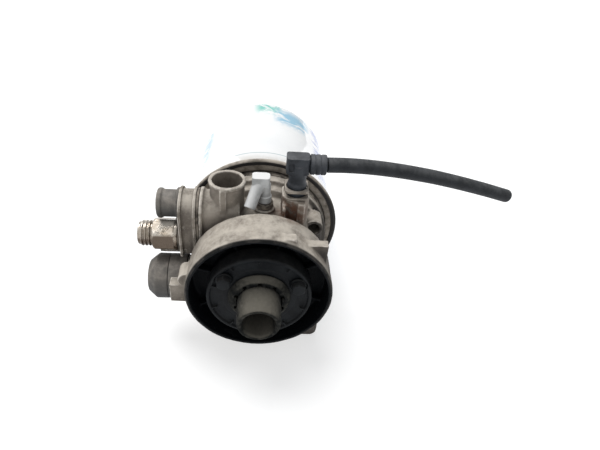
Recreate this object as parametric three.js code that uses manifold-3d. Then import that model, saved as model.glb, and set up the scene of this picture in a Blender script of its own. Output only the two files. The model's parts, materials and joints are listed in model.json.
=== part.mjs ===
// Spin-on compressed-air dryer for a truck brake system, in millimetres, +Z up.
// The mounting face lies on z = 0 with the origin under the dryer's own axis.
// The dryer's axis runs along +Y, from the exhaust spigot to the cartridge's dome.
import * as THREE from 'three';
import { mergeVertices } from 'three/addons/utils/BufferGeometryUtils.js';
import Module from 'manifold-3d';

const wasm = await Module();
wasm.setup();

// ---- driving dimensions ----
const axisHeight = 75;
const gap = 0.3;
const skirt = { front: -55, back: -20, radius: 59, wall: 3.5, floor: -33 };
const barrel = { radius: 50, back: 18 };
const seat = { radius: 60.5, face: 34 };
const can = { radius: 69, rimRadius: 72, front: 37.5, shoulder: 163, top: 190.5, wall: 1.5 };
const pedestal = { radius: 40, front: -50 };
const chamber = { radius: 21.5, back: 0 };
const spigot = { radius: 17.2, bore: 12.8, front: -84, flangeRadius: 21 };
const hub = { radius: 19.5, bore: 13, front: 9, back: 50 };
const base = { left: -46, right: 56, front: -30, back: 34, thickness: 9 };
const port = { x: -28.6, y: 0.5, radius: 13.8, bore: 12, top: 75, depth: 29 };
const valveBlock = { left: -66.5, right: -50.5, half: 17, y: 0, bottom: 11, top: 62 };
const fitting = { y: -3, z: 21, thread: 11, bore: 7, acrossFlats: 25, end: -101.5 };
const plug = { y: 4, z: 47.5, radius: 12.5, end: -85 };
const governor = { y: -14, z: -17, radius: 19.5, end: -94, joint: -62 };
const elbow = { x: 26.5, y: -2, seatZ: 69, headZ: 93 };
const breather = { x: 1.5, y: -3, seatZ: 53 };
const cover = { back: pedestal.front - gap, thickness: 3.7, radius: 42 };
const coverBoltAngles = [146, 26, -94];
const coverBoltCircle = 33.5;

// ---- shapes: closed three.js geometries, joined and cut by manifold ----
const quarter = Math.PI / 2;
const facing = { x: [0, 0, -quarter], y: [0, 0, 0], z: [quarter, 0, 0] };

function solid(geometry) {
  const bare = new THREE.BufferGeometry();
  bare.setAttribute('position', geometry.getAttribute('position'));
  bare.setIndex(geometry.getIndex());
  const merged = mergeVertices(bare, 1e-4);
  const place = merged.getAttribute('position');
  const faces = Array.from(merged.getIndex().array);
  const corners = [new THREE.Vector3(), new THREE.Vector3(), new THREE.Vector3()];
  let volume = 0;
  for (let i = 0; i < faces.length; i += 3) {
    corners.forEach((corner, k) => corner.fromBufferAttribute(place, faces[i + k]));
    volume += corners[0].dot(corners[1].cross(corners[2]));
  }
  if (volume < 0) faces.reverse();
  return new wasm.Manifold(new wasm.Mesh({
    numProp: 3,
    vertProperties: new Float32Array(place.array),
    triVerts: new Uint32Array(faces),
  }));
}

function surface(manifold) {
  const { vertProperties, triVerts } = manifold.getMesh();
  const geometry = new THREE.BufferGeometry();
  geometry.setAttribute('position', new THREE.BufferAttribute(vertProperties, 3));
  geometry.setIndex(new THREE.BufferAttribute(triVerts, 1));
  return geometry;
}

function joined(shapes) {
  return surface(shapes.map(solid).reduce((whole, shape) => whole.add(shape)));
}

function cut(shape, tools) {
  return surface(tools.map(solid).reduce((left, tool) => left.subtract(tool), solid(shape)));
}

function common(shape, other) {
  return surface(solid(shape).intersect(solid(other)));
}

// A shape modelled along Y is turned to face along `axis` and moved.
function at(shape, position, axis = 'y') {
  const spot = new THREE.Matrix4().makeRotationFromEuler(new THREE.Euler(...facing[axis]));
  return shape.clone().applyMatrix4(spot.setPosition(...position));
}

function spun(shape, degrees) {
  return shape.clone().rotateY(THREE.MathUtils.degToRad(degrees));
}

function around(count, make) {
  return Array.from({ length: count }, (unused, i) => make((360 * i) / count));
}

function onCircle(radius, degrees) {
  const angle = THREE.MathUtils.degToRad(degrees);
  return [radius * Math.cos(angle), radius * Math.sin(angle)];
}

// A solid of revolution about Y; its outline is a list of [radius, distance along the axis].
function turned(outline, segments = 20) {
  return new THREE.LatheGeometry(outline.map(([r, h]) => new THREE.Vector2(r, h)), segments);
}

function ring(inner, outer, from, to, segments = 20) {
  return turned([[inner, from], [outer, from], [outer, to], [inner, to], [inner, from]], segments);
}

function drum(radius, from, to, segments = 16) {
  return turned([[0, from], [radius, from], [radius, to], [0, to]], segments);
}

function block([x0, x1], [y0, y1], [z0, z1]) {
  const box = new THREE.BoxGeometry(x1 - x0, y1 - y0, z1 - z0);
  return box.translate((x0 + x1) / 2, (y0 + y1) / 2, (z0 + z1) / 2);
}

function hexagon(acrossFlats, from, to) {
  const radius = acrossFlats / Math.sqrt(3);
  return new THREE.CylinderGeometry(radius, radius, to - from, 6).translate(0, (from + to) / 2, 0);
}

// An outline in the plane across X or Z, with a thickness along that axis.
function plate(outline, from, to, axis, round = 4) {
  const options = { depth: to - from, bevelEnabled: false, curveSegments: round };
  const raised = new THREE.ExtrudeGeometry(outline, options).translate(0, 0, from);
  return axis === 'x' ? raised.rotateX(quarter).rotateZ(quarter) : raised;
}

function roundedOutline(x0, x1, y0, y1, radius) {
  const outline = new THREE.Shape();
  outline.absarc(x1 - radius, y1 - radius, radius, 0, quarter);
  outline.absarc(x0 + radius, y1 - radius, radius, quarter, 2 * quarter);
  outline.absarc(x0 + radius, y0 + radius, radius, 2 * quarter, 3 * quarter);
  outline.absarc(x1 - radius, y0 + radius, radius, 3 * quarter, 4 * quarter);
  return outline;
}

function tubeAlong(curve, radius, sides, steps) {
  const section = new THREE.Shape();
  section.moveTo(radius, 0);
  for (let i = 1; i < sides; i += 1) {
    section.lineTo(...onCircle(radius, (360 * i) / sides));
  }
  return new THREE.ExtrudeGeometry(section, { extrudePath: curve, steps, bevelEnabled: false });
}

class Helix extends THREE.Curve {
  constructor(radius, from, to, turns) {
    super();
    Object.assign(this, { radius, from, to, turns });
  }

  getPoint(t, target = new THREE.Vector3()) {
    const [x, z] = onCircle(this.radius, 360 * this.turns * t);
    return target.set(x, this.from + (this.to - this.from) * t, z);
  }
}

function coilSpring(radius, wire, from, to, turns) {
  return tubeAlong(new Helix(radius, from + wire, to - wire, turns), wire, 4, 8 * turns);
}

// ---- finishes ----
function finish(color, roughness, metalness) {
  return new THREE.MeshStandardMaterial({ color, roughness, metalness });
}

const castAluminium = finish(0x8a8279, 0.75, 0.55);
const blackCoat = finish(0x191b1f, 0.6, 0.1);
const dustySteel = finish(0x6b685c, 0.7, 0.6);
const brightSteel = finish(0xb5b3ad, 0.35, 1);
const nickelBrass = finish(0xc9bca4, 0.4, 0.9);
const brass = finish(0xb08d4a, 0.4, 1);
const rubber = finish(0x16171a, 0.85, 0);
const darkPlastic = finish(0x3a3d3f, 0.6, 0);
const greyPlastic = finish(0x8f979c, 0.55, 0);
const canPaint = finish(0xe6eaec, 0.25, 0.3);
const zincPlate = finish(0x9a9a98, 0.45, 0.9);
const tinPlate = finish(0xa8a9a8, 0.4, 0.9);
const desiccant = finish(0xe8dfc8, 0.95, 0);
const fleece = finish(0xdedbd0, 1, 0);

// ---- the scene graph ----
const dryer = new THREE.Group();
const onAxis = new THREE.Group();
onAxis.position.set(0, 0, axisHeight);
dryer.add(onAxis);

// A piece modelled along Y is placed at a point of the dryer's axis frame, facing along `axis`.
function add(name, shape, material, position = [0, 0, 0], axis = 'y') {
  const mesh = new THREE.Mesh(surface(solid(shape)), material);
  mesh.name = name;
  mesh.position.set(...position);
  mesh.rotation.set(...facing[axis]);
  onAxis.add(mesh);
}

// ---- base casting ----
function castShell() {
  const { front, back, radius } = skirt;
  const step = barrel.back;
  return turned([
    [0, front], [radius - 1.2, front], [radius, front + 1.2], [radius, back - 2], [radius - 2.5, back],
    [barrel.radius, back + 7], [barrel.radius, step - 3], [56, step], [56, step + 6], [seat.radius, step + 8],
    [seat.radius, seat.face], [0, seat.face],
  ], 36);
}

function footHoles() {
  const inset = 13;
  const [left, right] = [base.left + inset, base.right - inset];
  const [front, back] = [base.front + inset, base.back - inset];
  return [[left, front], [right, front], [right, back], [left, back]];
}

function mountingFoot() {
  const floor = -axisHeight;
  const top = floor + base.thickness;
  const boss = drum(11, floor, floor + 22, 16);
  return [
    plate(roundedOutline(base.left, base.right, base.front, base.back, 7), floor, top, 'z'),
    block([base.left, base.right - 1], [base.front, base.front + 9], [top - 1, -20]),
    block([20, base.right - 1], [base.front, base.front + 9], [-21, 18]),
    block([base.left + 2, base.left + 9], [-22, 22], [top - 1, -18]),
    block([-12, 12], [-14, base.back - 12], [top - 1, -45]),
    block([base.left + 2, 50], [-2, 5], [top - 1, -30]),
    ...footHoles().map(([x, y]) => at(boss, [x, y, 0], 'z')),
  ];
}

function topBosses() {
  const { x, y } = elbow;
  const portSpot = [port.x, port.y, 0];
  return [
    at(drum(port.radius, 0, port.top, 28), portSpot, 'z'),
    at(ring(port.bore - 1, port.radius + 1.2, port.top - 3, port.top, 28), portSpot, 'z'),
    block([port.x - 5, port.x + 0.4], [port.y - port.radius - 2.2, port.y - 8], [30, port.top - 1.5]),
    at(drum(10.5, 0, elbow.seatZ - 4), [x, y, 0], 'z'),
    block([x - 11, x + 11], [y - 2, y + 12], [30, elbow.seatZ - 4]),
    block([x + 1.1, x + 7.2], [y - 14, y], [20, elbow.seatZ - 5]),
    block([x - 11, x - 8], [y - 14, y], [20, elbow.seatZ - 9]),
    at(drum(8.5, 30, breather.seatZ), [breather.x, breather.y, 0], 'z'),
  ];
}

// The round-topped plate that the valve block, its gasket and its pad share, grown by `grow`.
function valvePlate(grow, from, to) {
  const { half, y, bottom, top } = valveBlock;
  const round = half + grow;
  const outline = new THREE.Shape();
  outline.moveTo(y + round, bottom - grow);
  outline.absarc(y, top - half, round, 0, 2 * quarter);
  outline.lineTo(y - round, bottom - grow);
  return plate(outline, from, to, 'x', 12);
}

function sidePads() {
  const pad = valveBlock.right + gap;
  const earBoss = drum(6.5, -46, -30, 12);
  return [
    valvePlate(0, pad, -18),
    valvePlate(2, pad, pad + 3),
    at(drum(governor.radius - 1, governor.joint + gap, -20), [0, governor.y, governor.z], 'x'),
    block([-85.5, -45], [-7, 0], [3.6, 6.4]),
    block([28, 51.5], [-45, -37.5], [18, 47]),
    block([16, 26], [-52, -44], [50, 58]),
    block([-72, -50], [-45, -35.5], [-17, 2]),
    at(earBoss, [-58.5, 0, 8]),
    at(drum(8.5, 2, 20), [45, 0, 27]),
  ];
}

function skirtRibs() {
  const rib = block([-1.2, 1.2], [skirt.floor - 8, skirt.floor + 1], [pedestal.radius - 1, skirt.radius - 3]);
  return around(8, (degrees) => spun(rib, degrees + 18));
}

function castingCuts() {
  const footHole = drum(5.1, -axisHeight - 1, -axisHeight + 18, 12);
  const coverHole = drum(3.3, pedestal.front - 1, -34, 8);
  const valveHole = drum(2.3, -55, -43, 8);
  const elbowSpot = [elbow.x, elbow.y, 0];
  return [
    valvePlate(2.4, -75, valveBlock.right + gap),
    ring(pedestal.radius, skirt.radius - skirt.wall, skirt.front - 1, skirt.floor, 36),
    drum(pedestal.radius + 1, skirt.front - 1, pedestal.front, 36),
    drum(chamber.radius, pedestal.front - 1, chamber.back, 24),
    ring(24, 47, 12, seat.face + 1, 28),
    drum(hub.radius + gap, hub.front - gap, seat.face + 1, 24),
    drum(4, chamber.back - 1, hub.front + 1, 8),
    at(drum(port.bore, port.top - port.depth, port.top + 1, 28), [port.x, port.y, 0], 'z'),
    at(drum(5, 30, port.top, 10), [port.x, port.y, 0], 'z'),
    at(drum(9.3, -55, -30), [0, fitting.y, fitting.z], 'x'),
    at(drum(4.3, -55, -43.5, 12), [0, plug.y, plug.z], 'x'),
    at(drum(7.8, governor.joint - 1, -36, 16), [0, governor.y, governor.z], 'x'),
    at(drum(5.2, 0, 36, 12), [45, 0, 27]),
    at(drum(7.3, elbow.seatZ - 16, elbow.seatZ), elbowSpot, 'z'),
    at(drum(4.8, breather.seatZ - 9, breather.seatZ + 1, 12), [breather.x, breather.y, 0], 'z'),
    ...footHoles().map(([x, y]) => at(footHole, [x, y, 0], 'z')),
    ...coverBoltSpots().map((spot) => at(coverHole, spot)),
    ...valveScrewSpots().map((spot) => at(valveHole, spot, 'x')),
  ];
}

function baseCasting() {
  const body = joined([castShell(), ...mountingFoot(), ...topBosses(), ...sidePads()]);
  return joined([cut(body, castingCuts()), ...skirtRibs()]);
}

// ---- end cover and exhaust ----
function coverBoltSpots() {
  return coverBoltAngles.map((angle) => {
    const [x, z] = onCircle(coverBoltCircle, angle);
    return [x, 0, z];
  });
}

function endCover() {
  const { back, thickness, radius } = cover;
  const face = back - thickness;
  const disc = turned([
    [17.7, back], [17.7, face], [38.5, face], [39.5, face - 2.2], [radius - 0.8, face - 2.2], [radius, face - 1],
    [radius, back + 8], [pedestal.radius + gap, back + 8], [pedestal.radius + gap, back], [17.7, back],
  ], 36);
  const tooth = block([-0.7, 0.7], [face - 1.8, face + 1], [35, 39.2]);
  const teeth = around(10, (degrees) => spun(tooth, degrees));
  const boltHole = joined([drum(3.3, face - 1, back + 1, 8), drum(7.2, face - 4, face, 12)]);
  return cut(joined([disc, ...teeth]), coverBoltSpots().map((spot) => at(boltHole, spot)));
}

function coverBolt() {
  const seatY = cover.back - cover.thickness - gap;
  const head = hexagon(10, seatY - 6.5, seatY - 1);
  return joined([head, drum(6.7, seatY - 1.6, seatY, 14), drum(3, seatY - 0.5, -36, 8)]);
}

function exhaustSpigot() {
  const { radius, bore, front, flangeRadius } = spigot;
  const back = pedestal.front + 4;
  return turned([
    [bore, front + 1.5], [bore + 1.2, front], [radius - 1.2, front], [radius - 0.4, front + 2.5], [radius, front + 9],
    [radius, pedestal.front + gap], [flangeRadius, pedestal.front + gap], [flangeRadius, back],
    [bore, back], [bore, front + 1.5],
  ], 24);
}

function lockRing() {
  const back = cover.back - cover.thickness - gap;
  const cone = turned([
    [17.7, back], [25, back], [25, back - 1.5], [21, back - 6], [17.7, back - 6], [17.7, back],
  ], 24);
  const notch = block([-1.6, 1.6], [back - 8, back - 2.5], [16, 20.4]);
  return cut(cone, around(10, (degrees) => spun(notch, degrees)));
}

const valveSeat = { front: -36, back: -32 };

function exhaustPiston() {
  const [stem, guide] = [4, chamber.radius - 0.7];
  return turned([
    [0, -43], [7, -43], [15, -41.5], [15, -39.1], [stem, -39.1], [stem, -9.5], [guide, -8.5], [guide, -6.6],
    [18.5, -6.6], [18.5, -3.4], [guide, -3.4], [guide, -2], [0, -2],
  ], 20);
}

function addExhaust() {
  add('end_cover', endCover(), blackCoat);
  coverBoltSpots().forEach((spot, i) => add(`cover_bolt_${i + 1}`, coverBolt(), blackCoat, spot));
  add('exhaust_spigot', exhaustSpigot(), dustySteel);
  add('spigot_lock_ring', lockRing(), dustySteel);
  add('exhaust_valve_seat', ring(11, chamber.radius - gap, valveSeat.front, valveSeat.back), brass);
  add('exhaust_valve_seal', ring(4.4, 14, -38.8, valveSeat.front - gap), rubber);
  add('exhaust_piston', exhaustPiston(), brightSteel);
  add('exhaust_piston_seal', ring(18.8, chamber.radius - 0.35, -6.3, -3.7), rubber);
  add('exhaust_valve_spring', coilSpring(14, 1.2, valveSeat.back + gap, -9.8, 4), brightSteel);
}

// ---- valve block on the left side, with the outlet fitting, check valve and heater ----
function valveScrewSpots() {
  const { half, y, bottom } = valveBlock;
  const [front, back] = [y - half + 3.6, y + half - 3.6];
  return [[0, front, bottom + 3.6], [0, back, bottom + 3.6], [0, front, 38], [0, back, 31]];
}

function valveBody() {
  const { left, right } = valveBlock;
  const seam = right - gap - 1.8;
  const shell = joined([
    valvePlate(0, left, seam),
    valvePlate(2, seam - 2.5, seam),
    valvePlate(2, left, left + 2.5),
  ]);
  return cut(shell, [
    at(drum(8.6, left - 1, right), [0, fitting.y, fitting.z], 'x'),
    at(drum(4.3, left - 1, right, 12), [0, plug.y, plug.z], 'x'),
    ...valveScrewSpots().map((spot) => at(drum(2.3, left - 1, right, 8), spot, 'x')),
    ...valveScrewSpots().map((spot) => at(drum(3.7, left - 1, left + 5, 12), spot, 'x')),
  ]);
}

function valveGasket() {
  const { right } = valveBlock;
  const hole = (radius, sides) => drum(radius, right - 3, right + 1, sides);
  return cut(valvePlate(1, right - 1.8, right), [
    at(hole(8.6, 20), [0, fitting.y, fitting.z], 'x'),
    at(hole(4.5, 12), [0, plug.y, plug.z], 'x'),
    ...valveScrewSpots().map((spot) => at(hole(2.4, 8), spot, 'x')),
  ]);
}

function valveScrew() {
  const seatX = valveBlock.left + 5 - gap;
  const head = cut(drum(3.4, seatX - 4.4, seatX, 12), [hexagon(3, seatX - 6, seatX - 2)]);
  return joined([head, drum(2, seatX - 0.5, -44, 8)]);
}

function outletFitting() {
  const { acrossFlats, thread, bore, end } = fitting;
  const hexFront = end + 12;
  const hexBack = valveBlock.left - 2.2;
  const envelope = turned([
    [0, hexFront], [12.4, hexFront], [14.2, hexFront + 2], [14.2, hexBack], [0, hexBack],
  ]);
  const crests = [3, 6, 9].flatMap((step) => [
    [10, end + step - 0.7], [thread, end + step], [thread, end + step + 0.8], [10, end + step + 1.5],
  ]);
  const stub = turned([[0, end], [9.6, end], ...crests, [10, hexFront + 1], [0, hexFront + 1]]);
  const body = joined([
    common(hexagon(acrossFlats, hexFront, hexBack - 1), envelope),
    drum(13.8, hexBack - 3, hexBack), stub, drum(8.2, hexBack - 2, -56.5),
  ]);
  return cut(body, [drum(bore, end - 1, -56, 16)]);
}

function checkValveGuide() {
  const windows = around(3, (degrees) => {
    const [x, z] = onCircle(5.6, degrees);
    return at(drum(2.4, -52, -47, 8), [x, 0, z]);
  });
  return cut(ring(2.2, 9, -50.4, -48.6, 20), windows);
}

function addCheckValve(spot) {
  const disc = turned([[0, -39], [8.4, -39], [8.4, -36.5], [4.5, -34], [0, -34]], 20);
  add('check_valve_seat', ring(4.8, 9, -33.7, -30.5, 20), brass, spot, 'x');
  add('check_valve_disc', joined([disc, drum(1.8, -48.5, -38.5, 8)]), brass, spot, 'x');
  add('check_valve_guide', checkValveGuide(), brass, spot, 'x');
  add('check_valve_spring', coilSpring(5.4, 0.6, -48.3, -39.3, 4), brightSteel, spot, 'x');
}

function heaterConnector() {
  const { radius, end } = plug;
  const root = valveBlock.left - gap;
  const shell = turned([
    [radius - 2.2, end], [radius - 0.9, end], [radius, end + 1.2], [radius, end + 3.6], [radius - 1.1, end + 4.6],
    [radius - 1.1, root - 3], [radius + 0.8, root - 2.4], [radius + 0.8, root], [4.2, root], [4.2, root - 6],
    [radius - 2.2, root - 6], [radius - 2.2, end],
  ], 28);
  const groove = block([-1.1, 1.1], [end, end + 13], [radius - 1.6, radius + 1]).rotateZ(-0.35);
  return cut(shell, [80, 200, 320].map((degrees) => spun(groove, degrees)));
}

function addValveBlock() {
  const fittingSpot = [0, fitting.y, fitting.z];
  const plugSpot = [0, plug.y, plug.z];
  add('valve_block', valveBody(), castAluminium);
  add('valve_block_gasket', valveGasket(), rubber);
  valveScrewSpots().forEach((spot, i) => {
    add(`valve_block_screw_${i + 1}`, valveScrew(), zincPlate, spot, 'x');
  });
  add('outlet_fitting', outletFitting(), nickelBrass, fittingSpot, 'x');
  add('outlet_fitting_seal', ring(8.7, 13.5, valveBlock.left - 1.9, valveBlock.left - gap), rubber, fittingSpot, 'x');
  addCheckValve(fittingSpot);
  add('heater_connector', heaterConnector(), darkPlastic, plugSpot, 'x');
  add('heater_rod', drum(3.9, valveBlock.left - 5.5, -44, 12), brightSteel, plugSpot, 'x');
  [-4, 4].forEach((aside, i) => {
    const pin = drum(1.2, plug.end + 4, valveBlock.left - 6.6, 8);
    add(`heater_pin_${i + 1}`, pin, brass, [0, plug.y + aside, plug.z], 'x');
  });
}

// ---- governor ----
function governorHousing() {
  const { radius, joint } = governor;
  return turned([
    [8, joint], [8, -70], [15.5, -70], [15.5, -78], [16.3, -78], [16.3, -76.5], [radius, -76.5],
    [radius, joint], [8, joint],
  ]);
}

function governorCap() {
  const { radius, end } = governor;
  return turned([
    [16.7, -78.4], [16.7, -76.8], [radius, -76.8], [radius, -87], [13.5, end], [0, end], [0, end + 2],
    [12.5, end + 2], [14.8, -86.4], [14.8, -78.5], [16.7, -78.4],
  ]);
}

function governorPiston() {
  return turned([
    [0, -69], [7.6, -69], [7.6, -66], [6, -65], [6, -50], [7.6, -49.5], [7.6, -46], [0, -46],
  ], 16);
}

function addGovernor() {
  const spot = [0, governor.y, governor.z];
  const screw = { from: -91, to: -82.6 };
  add('governor_housing', governorHousing(), castAluminium, spot, 'x');
  add('governor_cap', governorCap(), darkPlastic, spot, 'x');
  add('governor_piston', governorPiston(), brass, spot, 'x');
  add('governor_diaphragm', drum(15.2, -70.9, -70.3), rubber, spot, 'x');
  add('governor_spring', coilSpring(9.4, 1, -82.2, -71.3, 3), brightSteel, spot, 'x');
  add('governor_spring_plate', drum(11.5, -84.4, screw.to), zincPlate, spot, 'x');
  add('governor_adjusting_screw', drum(2.3, screw.from, -84.7, 10), zincPlate, spot, 'x');
  add('governor_lock_nut', cut(hexagon(8, -89.6, -86), [drum(2.6, -91, -85, 10)]), zincPlate, spot, 'x');
}

// ---- breather elbow ----
function breatherElbow() {
  const { seatZ } = breather;
  const stem = turned([
    [0, seatZ - 8], [2.8, seatZ - 8], [2.8, seatZ + 5.3], [5.6, seatZ + 5.3], [5.6, seatZ + 11],
    [4.6, seatZ + 11], [4.6, 75], [0, 75],
  ], 16);
  const head = plate(roundedOutline(-10.5, 3.6, -5.5, 4.8, 2.5), 73.5, 82, 'z');
  const bend = [[-3.6, 0.6, 77.5], [-6.6, -4, 71.5], [-11.8, -12.4, 59]].map((spot) => new THREE.Vector3(...spot));
  const mouth = bend[2].clone().addScaledVector(bend[2].clone().sub(bend[1]).normalize(), 1);
  const bore = new THREE.LineCurve3(bend[2].clone().lerp(bend[1], 0.5), mouth);
  const spout = tubeAlong(new THREE.CatmullRomCurve3(bend), 4.8, 12, 5);
  return cut(joined([at(stem, [0, 0, 0], 'z'), head, spout]), [tubeAlong(bore, 3.2, 8, 1)]);
}

function addBreather() {
  const spot = [breather.x, breather.y, 0];
  add('breather_grommet', ring(3.2, 7.2, breather.seatZ + gap, breather.seatZ + 5, 16), rubber, spot, 'z');
  add('breather_elbow', breatherElbow(), greyPlastic, spot);
}

// ---- hose elbow, its clip and the hose ----
const hoseRadius = 6;
const hoseRoute = [
  [48.5, -1.4, 93], [54, -0.9, 92.9], [62, 0.2, 92.5], [74, 2, 91.4], [87, 4.2, 89.6], [100, 6.5, 87.3], [114, 9, 84.5],
  [128, 11.5, 81.3], [142, 14, 77.9], [156, 16.6, 74], [170, 19.2, 69.9], [183, 21.5, 65.9], [195, 23.7, 62.1],
  [206, 25.6, 58.5], [216, 27.4, 55.1], [224, 28.8, 52.4],
];

function elbowClip() {
  const { seatZ } = elbow;
  const leaf = (z) => plate(roundedOutline(-9.5, 9.5, -10, 9, 3), z, z + 2, 'z', 3);
  const link = block([-9.5, -6.5], [2, 9], [seatZ - 3.4, seatZ + 4.5]);
  const opening = at(drum(8.2, seatZ - 5, seatZ + 8), [0, 0, 0], 'z');
  return cut(joined([leaf(seatZ - 3.6), leaf(seatZ + 2.6), link]), [opening]);
}

function hoseElbow() {
  const { seatZ, headZ } = elbow;
  const neck = turned([
    [0, seatZ - 15], [7, seatZ - 15], [7, seatZ - 12.3], [5.3, seatZ - 12.3], [5.3, seatZ - 8.7], [7, seatZ - 8.7],
    [7, seatZ - 3.6], [7.8, seatZ - 3.6], [7.8, seatZ + 7], [7, seatZ + 9], [7, headZ], [0, headZ],
  ], 20);
  const barb = turned([[0, 6], [5.4, 6], [5.4, 14], [3.4, 17], [3.4, 21.6], [0, 21.6]], 16);
  const notch = block([-7.6, -3.6], [-9, -4.2], [headZ - 4, headZ + 2.6]);
  const body = joined([
    at(neck, [0, 0, 0], 'z'), at(barb, [0, 0.6, headZ], 'x'),
    plate(roundedOutline(-9.5, 8.5, -6, 7, 2.5), headZ - 7, headZ + 7, 'z'),
  ]);
  return cut(body, [notch, at(drum(2.2, 2, 30, 8), [0, 0.6, headZ], 'x')]);
}

function addHose() {
  const spot = [elbow.x, elbow.y, 0];
  const route = new THREE.CatmullRomCurve3(hoseRoute.map((point) => new THREE.Vector3(...point)));
  const sealFrom = elbow.seatZ - 12;
  add('elbow_seal', ring(5.6, 7.2, sealFrom, sealFrom + 3, 16), rubber, spot, 'z');
  add('elbow_clip', elbowClip(), zincPlate, spot);
  add('hose_elbow', hoseElbow(), darkPlastic, spot);
  add('hose_ferrule', ring(6.4, 8, 8.9, 21.5, 24), darkPlastic, [elbow.x, elbow.y + 0.6, elbow.headZ], 'x');
  add('hose', tubeAlong(route, hoseRadius, 12, 12), rubber);
}

// ---- spin-on cartridge ----
function canShell() {
  const { radius, rimRadius, front, shoulder, top, wall } = can;
  const bend = 24;
  const arc = (r) => Array.from({ length: 4 }, (unused, i) => {
    const [out, along] = onCircle(r, 25 * i);
    return [radius - bend + out, shoulder + along];
  });
  return turned([
    [rimRadius - 2, front], [rimRadius, front + 2], [rimRadius, front + 5.5], [radius, front + 9], ...arc(bend),
    [20, top], [0, top], [0, top - wall], [20, top - wall], ...arc(bend - wall).reverse(),
    [radius - wall, front], [rimRadius - 2, front],
  ], 40);
}

function cartridgePlate() {
  const [front, back] = [can.front + 1.5, can.front + 7.5];
  const bore = hub.radius + gap;
  const rim = can.radius - can.wall - gap;
  const disc = turned([
    [bore, front - 1], [30, front - 1], [34, front + 1.5], [46, front + 1.5], [52, front],
    [52, front + 2.5], [61.5, front + 2.5], [61.5, front], [rim, front], [rim, back], [30, back], [27, back + 3],
    [bore, back + 3], [bore, front - 1],
  ], 24);
  return cut(disc, around(6, (degrees) => spun(at(drum(4, front - 2, back + 2, 6), [40, 0, 0]), degrees)));
}

function sieve(from, to) {
  const hole = (circle) => at(drum(3, from - 1, to + 1, 6), [circle, 0, 0]);
  const holes = [[22, 4], [42, 7]].flatMap(([circle, count]) => around(count, (turn) => spun(hole(circle), turn)));
  return cut(drum(57.6, from, to, 28), holes);
}

function desiccantCup() {
  const [floor, rim] = [58, 155];
  return turned([
    [22.5, 49.2], [24, 49.2], [24, floor], [59.5, floor], [59.5, rim], [58.1, rim], [58.1, floor + 1.4],
    [22.5, floor + 1.4], [22.5, 49.2],
  ], 28);
}

function addCartridge() {
  const gasketBack = can.front + 1.5 + 2.5 - gap;
  add('threaded_hub', ring(hub.bore, hub.radius, hub.front, hub.back), zincPlate);
  add('cartridge_gasket', ring(52.5, 60.6, seat.face + gap, gasketBack, 32), rubber);
  add('cartridge_can', canShell(), canPaint);
  add('cartridge_plate', cartridgePlate(), zincPlate);
  add('cup_seal', ring(19.9, 22.1, 49.4, 54), rubber);
  add('desiccant_cup', desiccantCup(), tinPlate);
  add('lower_sieve', sieve(59.8, 61.6), tinPlate);
  add('desiccant_bed', drum(57.6, 62, 141, 28), desiccant);
  add('upper_sieve', sieve(141.4, 143.2), tinPlate);
  add('oil_fleece', ring(60.4, 66, 62, 92, 28), fleece);
  add('cartridge_spring', coilSpring(20, 1.6, 143.6, 185.6, 4), brightSteel);
}

add('base_casting', baseCasting(), castAluminium);
addExhaust();
addValveBlock();
addGovernor();
addBreather();
addHose();
addCartridge();

export default dryer;
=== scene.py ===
"""The looks of a spin-on compressed-air dryer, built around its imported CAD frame.

Shapes are modelled in millimetres in the dryer's axis frame: Y runs along the axis, from the
exhaust spigot to the cartridge's dome, and z = 0 lies on it. A finished piece is moved to the
row frame, in metres. The driving dimensions are the CAD part's own.
"""

import json
import math

import bmesh
import bpy
from mathutils import Matrix, Vector, noise


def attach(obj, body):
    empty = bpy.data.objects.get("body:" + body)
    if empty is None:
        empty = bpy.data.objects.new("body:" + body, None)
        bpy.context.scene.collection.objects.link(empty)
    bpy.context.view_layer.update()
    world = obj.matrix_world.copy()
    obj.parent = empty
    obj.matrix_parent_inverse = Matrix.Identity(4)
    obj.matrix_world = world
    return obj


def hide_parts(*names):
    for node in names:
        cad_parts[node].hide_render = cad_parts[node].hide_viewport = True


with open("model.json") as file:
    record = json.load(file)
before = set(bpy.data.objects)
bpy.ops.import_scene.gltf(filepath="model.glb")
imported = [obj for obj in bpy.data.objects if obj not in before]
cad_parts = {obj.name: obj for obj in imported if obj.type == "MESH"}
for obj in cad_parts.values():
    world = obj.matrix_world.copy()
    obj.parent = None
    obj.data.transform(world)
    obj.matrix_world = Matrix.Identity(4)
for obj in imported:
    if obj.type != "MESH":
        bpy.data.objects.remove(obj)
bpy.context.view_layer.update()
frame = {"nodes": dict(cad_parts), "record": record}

# ---- driving dimensions, in millimetres ----
MM = 0.001
AXIS_HEIGHT = 75
GAP = 0.3
SKIRT = dict(front=-55, back=-20, radius=59, wall=3.5, floor=-33)
BARREL = dict(radius=50, back=18)
SEAT = dict(radius=60.5, face=34)
CAN = dict(radius=69, rim=72, front=37.5, shoulder=163, top=190.5, wall=1.5)
PEDESTAL = dict(radius=40, front=-50)
CHAMBER = dict(radius=21.5, back=0)
SPIGOT = dict(radius=17.2, bore=12.8, front=-84, flange=21)
HUB = dict(radius=19.5, bore=13, front=9, back=50)
BASE = dict(left=-46, right=56, front=-30, back=34, thickness=9, hole_inset=13, corner=7)
PORT = dict(x=-28.6, y=0.5, radius=13.8, bore=12, top=75, depth=29, lip=15)
VALVE = dict(left=-66.5, right=-50.5, half=17, y=0, bottom=11, top=62)
FITTING = dict(y=-3, z=21, thread=11, bore=7, flats=25, end=-101.5)
PLUG = dict(y=4, z=47.5, radius=12.5, end=-85)
GOVERNOR = dict(y=-14, z=-17, radius=19.5, end=-94, joint=-62)
ELBOW = dict(x=26.5, y=-2, seat=69, head=93)
BREATHER = dict(x=1.5, y=-3, seat=53)
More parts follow.
